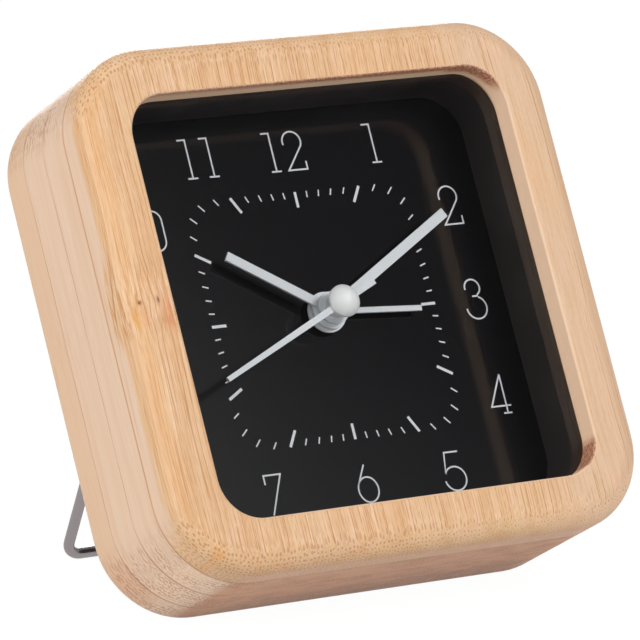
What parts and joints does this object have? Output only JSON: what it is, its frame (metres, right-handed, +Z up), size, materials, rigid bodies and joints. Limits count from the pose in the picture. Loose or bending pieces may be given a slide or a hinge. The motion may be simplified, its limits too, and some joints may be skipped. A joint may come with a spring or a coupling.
{
  "type": "desk alarm clock",
  "caption": "Square bamboo desk alarm clock, leaned back on a folding wire stand, with a black dial, hands, gear train, set knobs, alarm switch and battery door.",
  "frame": {"origin": "on the table, under the middle of the clock's box with its stand open", "axes": "+X to the right of someone facing the dial, +Y away from them, +Z up"},
  "size_m": [0.095, 0.0756, 0.0972],
  "materials": {
    "bamboo": "fine-sanded bare bamboo with a satin seal",
    "clear_lens": "polished flat clear pane",
    "black_moulding": "fine matt moulded plastic",
    "black_dial": "gloss black print on a thin plate",
    "black_cover": "fine spark-eroded black plastic",
    "grey_hand": "light grey satin paint on thin stamped metal",
    "grey_collet": "translucent grey plastic",
    "white_cap": "semi-gloss off-white plastic",
    "satin_steel": "drawn steel wire, satin",
    "screw_steel": "zinc-plated steel",
    "white_gear": "natural white acetal",
    "brass_gear": "turned brass",
    "grey_housing": "moulded light grey plastic",
    "magnet": "sintered ferrite",
    "core_iron": "rolled soft iron",
    "copper_wire": "enamelled copper winding",
    "board_green": "solder-resist on glass-fibre board",
    "black_resin": "black potting resin",
    "tin_plate": "nickel-plated spring steel",
    "cell_jacket": "plain unprinted grey jacket",
    "white_slider": "white moulded plastic"
  },
  "bodies": {
    "clock_case": {"case_block": "bamboo", "lens_pane": "clear_lens", "dial_spacer": "black_moulding", "dial_plate": "black_dial", "back_cover": "black_cover", "cover_screws": "screw_steel", "movement_housing": "grey_housing", "middle_plate": "grey_housing", "rear_plate": "grey_housing", "movement_screws": "screw_steel", "stator": "core_iron", "coil_bobbin": "black_moulding", "coil_winding": "copper_wire", "buzzer": "black_resin", "circuit_board": "board_green", "chip": "black_resin", "quartz_crystal": "tin_plate", "switch_body": "black_moulding", "battery": "cell_jacket", "contact_plus": "tin_plate", "contact_minus": "tin_plate"},
    "stand": {"wire_stand": "satin_steel"},
    "door": {"battery_door": "black_cover"},
    "alarm_switch": {"alarm_slider": "white_slider"},
    "time_setter": {"time_knob": "black_cover", "time_shaft": "grey_housing"},
    "alarm_setter": {"alarm_knob": "black_cover", "alarm_shaft": "grey_housing"},
    "alarm_pointer": {"alarm_hand": "grey_hand", "alarm_collet": "grey_collet", "alarm_wheel": "white_gear"},
    "hour_pointer": {"hour_hand": "grey_hand", "hour_collet": "grey_collet", "hour_wheel": "white_gear"},
    "minute_pointer": {"minute_hand": "grey_hand", "minute_collet": "grey_collet", "cannon_pinion": "brass_gear"},
    "second_pointer": {"second_hand": "grey_hand", "hand_cap": "white_cap", "second_wheel": "brass_gear"},
    "motion_gear": {"minute_wheel": "white_gear"},
    "centre_gear": {"centre_wheel": "white_gear"},
    "third_gear": {"third_wheel": "white_gear"},
    "step_gear": {"step_wheel": "white_gear"},
    "rotor": {"rotor_magnet": "magnet", "rotor_pinion": "brass_gear"}
  },
  "joints": [
    {"name": "stand_fold", "type": "hinge", "parent": "clock_case", "child": "stand", "pos_m": [0, 0.01567, 0.04261], "axis": [-1, 0, 0], "range_deg": [0, 54.3]},
    {"name": "battery_door_hinge", "type": "hinge", "parent": "clock_case", "child": "door", "pos_m": [0, -0.00408, 0.01038], "axis": [-1, 0, 0], "range_deg": [0, 80]},
    {"name": "alarm_switch_slide", "type": "slide", "parent": "clock_case", "child": "alarm_switch", "axis": [1, 0, 0], "range_m": [0, 0.004]},
    {"name": "minute_hand_turn", "type": "hinge", "parent": "clock_case", "child": "minute_pointer", "pos_m": [0, -0.00254, 0.04878], "axis": [0, 0.8878, -0.4602], "continuous": true},
    {"name": "hour_hand_turn", "type": "hinge", "parent": "clock_case", "child": "hour_pointer", "pos_m": [0, -0.00254, 0.04878], "axis": [0, 0.8878, -0.4602], "continuous": true},
    {"name": "motion_gear_turn", "type": "hinge", "parent": "clock_case", "child": "motion_gear", "pos_m": [-0.00507, -0.00106, 0.05162], "axis": [0, 0.8878, -0.4602], "continuous": true},
    {"name": "time_knob_turn", "type": "hinge", "parent": "clock_case", "child": "time_setter", "pos_m": [-0.0105, -0.00254, 0.04878], "axis": [0, 0.8878, -0.4602], "continuous": true},
    {"name": "alarm_hand_turn", "type": "hinge", "parent": "clock_case", "child": "alarm_pointer", "pos_m": [0, -0.00254, 0.04878], "axis": [0, 0.8878, -0.4602], "continuous": true},
    {"name": "alarm_knob_turn", "type": "hinge", "parent": "clock_case", "child": "alarm_setter", "pos_m": [0.0105, -0.00254, 0.04878], "axis": [0, 0.8878, -0.4602], "continuous": true},
    {"name": "second_hand_turn", "type": "hinge", "parent": "clock_case", "child": "second_pointer", "pos_m": [0, -0.00254, 0.04878], "axis": [0, 0.8878, -0.4602], "continuous": true},
    {"name": "third_gear_turn", "type": "hinge", "parent": "clock_case", "child": "third_gear", "pos_m": [0, 0.00059, 0.05481], "axis": [0, 0.8878, -0.4602], "continuous": true},
    {"name": "centre_gear_turn", "type": "hinge", "parent": "clock_case", "child": "centre_gear", "pos_m": [0, -0.00254, 0.04878], "axis": [0, 0.8878, -0.4602], "continuous": true},
    {"name": "step_gear_turn", "type": "hinge", "parent": "clock_case", "child": "step_gear", "pos_m": [0.0045, -0.005, 0.04401], "axis": [0, 0.8878, -0.4602], "continuous": true},
    {"name": "rotor_turn", "type": "hinge", "parent": "clock_case", "child": "rotor", "pos_m": [0.00739, -0.00659, 0.04095], "axis": [0, 0.8878, -0.4602], "continuous": true}
  ],
  "couplings": [
    {"joint": "motion_gear_turn", "follows": "minute_hand_turn", "ratio": -0.33333},
    {"joint": "hour_hand_turn", "follows": "minute_hand_turn", "ratio": 0.083333},
    {"joint": "time_knob_turn", "follows": "minute_hand_turn", "ratio": 0.83333},
    {"joint": "alarm_knob_turn", "follows": "alarm_hand_turn", "ratio": -6},
    {"joint": "third_gear_turn", "follows": "second_hand_turn", "ratio": -0.13333},
    {"joint": "centre_gear_turn", "follows": "second_hand_turn", "ratio": 0.016667},
    {"joint": "step_gear_turn", "follows": "second_hand_turn", "ratio": -6},
    {"joint": "rotor_turn", "follows": "second_hand_turn", "ratio": 30}
  ]
}
